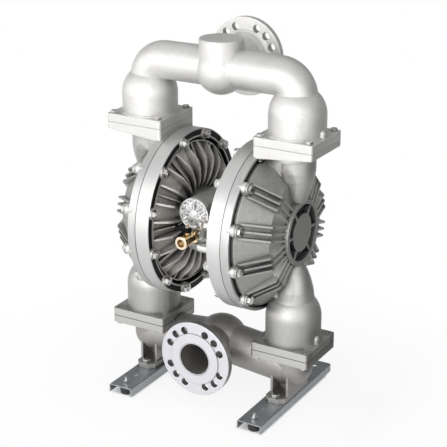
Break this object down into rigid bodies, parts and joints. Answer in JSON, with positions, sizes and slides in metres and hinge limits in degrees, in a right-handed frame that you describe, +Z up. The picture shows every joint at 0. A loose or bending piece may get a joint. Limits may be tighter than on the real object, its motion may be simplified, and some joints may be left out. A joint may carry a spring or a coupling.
{
  "type": "diaphragm pump",
  "caption": "Air-operated double-diaphragm pump with ball checks, flanged inlet and outlet manifolds, a brass air inlet valve, and two channel-steel rails on rubber feet.",
  "frame": {"origin": "centre of the bounding box on the floor under the rubber feet", "axes": "+X along the diaphragm shaft, -Y out of the inlet flange at the front, +Y out of the outlet flange at the back, +Z up"},
  "size_m": [0.552, 0.409, 0.9199],
  "materials": {
    "stainless_cast": "bead-blasted stainless casting, satin",
    "stainless_cast_dark": "cast stainless steel, satin, a little darker",
    "aluminium_cast": "cast aluminium, grey and matt",
    "aluminium_machined": "die-cast aluminium, bright satin",
    "fastener_steel": "bright stainless fasteners",
    "zinc_sheet": "zinc-plated folded sheet",
    "shaft_steel": "ground and polished",
    "seat_steel": "machined stainless steel",
    "bronze_bush": "sintered bronze",
    "brass": "forged brass, satin",
    "rubber_black": "moulded rubber, matt",
    "ptfe_white": "white fluoropolymer",
    "plastic_black": "moulded black plastic",
    "plastic_grey": "moulded grey plastic"
  },
  "bodies": {
    "pump": {"inlet_manifold": "stainless_cast_dark", "outlet_manifold": "stainless_cast", "outer_chamber_left": "stainless_cast_dark", "outer_chamber_right": "stainless_cast_dark", "air_chamber_left": "aluminium_cast", "air_chamber_right": "aluminium_cast", "centre_body": "aluminium_machined", "shaft_bush_left": "bronze_bush", "shaft_bush_right": "bronze_bush", "shaft_seals": "rubber_black", "lower_seat_left": "seat_steel", "lower_seat_right": "seat_steel", "upper_seat_left": "seat_steel", "upper_seat_right": "seat_steel", "lower_seat_rings": "rubber_black", "upper_seat_rings": "rubber_black", "ring_bolts_left": "fastener_steel", "ring_bolts_right": "fastener_steel", "ring_nuts_left": "fastener_steel", "ring_nuts_right": "fastener_steel", "lower_joint_bolts": "fastener_steel", "upper_joint_bolts": "fastener_steel", "upper_joint_nuts": "fastener_steel", "centre_bolts": "fastener_steel", "air_valve_body": "aluminium_machined", "air_valve_sleeve": "seat_steel", "air_valve_cover": "aluminium_machined", "cover_gasket": "rubber_black", "cover_bolts": "fastener_steel", "pilot_valve_body": "aluminium_machined", "inlet_nipple": "fastener_steel", "brass_valve_body": "brass", "brass_valve_seats": "ptfe_white", "exhaust_silencer": "plastic_grey", "rail_left": "zinc_sheet", "rail_right": "zinc_sheet", "rubber_feet": "rubber_black", "rubber_foot_bolts": "fastener_steel", "manifold_foot_bolts": "fastener_steel"},
    "shaft_assembly": {"diaphragm_shaft": "shaft_steel", "inner_plate_left": "aluminium_machined", "inner_plate_right": "aluminium_machined", "outer_plate_left": "seat_steel", "outer_plate_right": "seat_steel", "diaphragm_left": "rubber_black", "diaphragm_right": "rubber_black"},
    "lower_ball_left": {"lower_ball_left": "ptfe_white"},
    "lower_ball_right": {"lower_ball_right": "ptfe_white"},
    "upper_ball_left": {"upper_ball_left": "ptfe_white"},
    "upper_ball_right": {"upper_ball_right": "ptfe_white"},
    "valve_spool": {"air_valve_spool": "aluminium_machined", "spool_seals": "rubber_black"},
    "pilot_spool": {"pilot_spool": "seat_steel"},
    "reset_button": {"reset_button": "plastic_grey"},
    "air_lever": {"brass_valve_handle": "plastic_black", "brass_valve_stem": "brass", "brass_valve_ball": "shaft_steel", "handle_nut": "fastener_steel"}
  },
  "joints": [
    {"name": "shaft_stroke", "type": "slide", "parent": "pump", "child": "shaft_assembly", "axis": [1, 0, 0], "range_m": [-0.02, 0.02], "deforming": ["diaphragm_left", "diaphragm_right"]},
    {"name": "lower_ball_left_lift", "type": "slide", "parent": "pump", "child": "lower_ball_left", "axis": [0, 0, 1], "range_m": [0, 0.02]},
    {"name": "lower_ball_right_lift", "type": "slide", "parent": "pump", "child": "lower_ball_right", "axis": [0, 0, 1], "range_m": [0, 0.02]},
    {"name": "upper_ball_left_lift", "type": "slide", "parent": "pump", "child": "upper_ball_left", "axis": [0, 0, 1], "range_m": [0, 0.02]},
    {"name": "upper_ball_right_lift", "type": "slide", "parent": "pump", "child": "upper_ball_right", "axis": [0, 0, 1], "range_m": [0, 0.02]},
    {"name": "valve_spool_shift", "type": "slide", "parent": "pump", "child": "valve_spool", "axis": [0, 1, 0], "range_m": [-0.008, 0.008]},
    {"name": "pilot_spool_shift", "type": "slide", "parent": "pump", "child": "pilot_spool", "axis": [1, 0, 0], "range_m": [-0.008, 0.008]},
    {"name": "reset_button_press", "type": "slide", "parent": "pump", "child": "reset_button", "axis": [0, 1, 0], "range_m": [0, 0.002], "stiffness_N_per_m": 1500},
    {"name": "air_lever_turn", "type": "hinge", "parent": "pump", "child": "air_lever", "pos_m": [0, -0.155, 0.446], "axis": [0, 0, 1], "range_deg": [0, 90]}
  ]
}
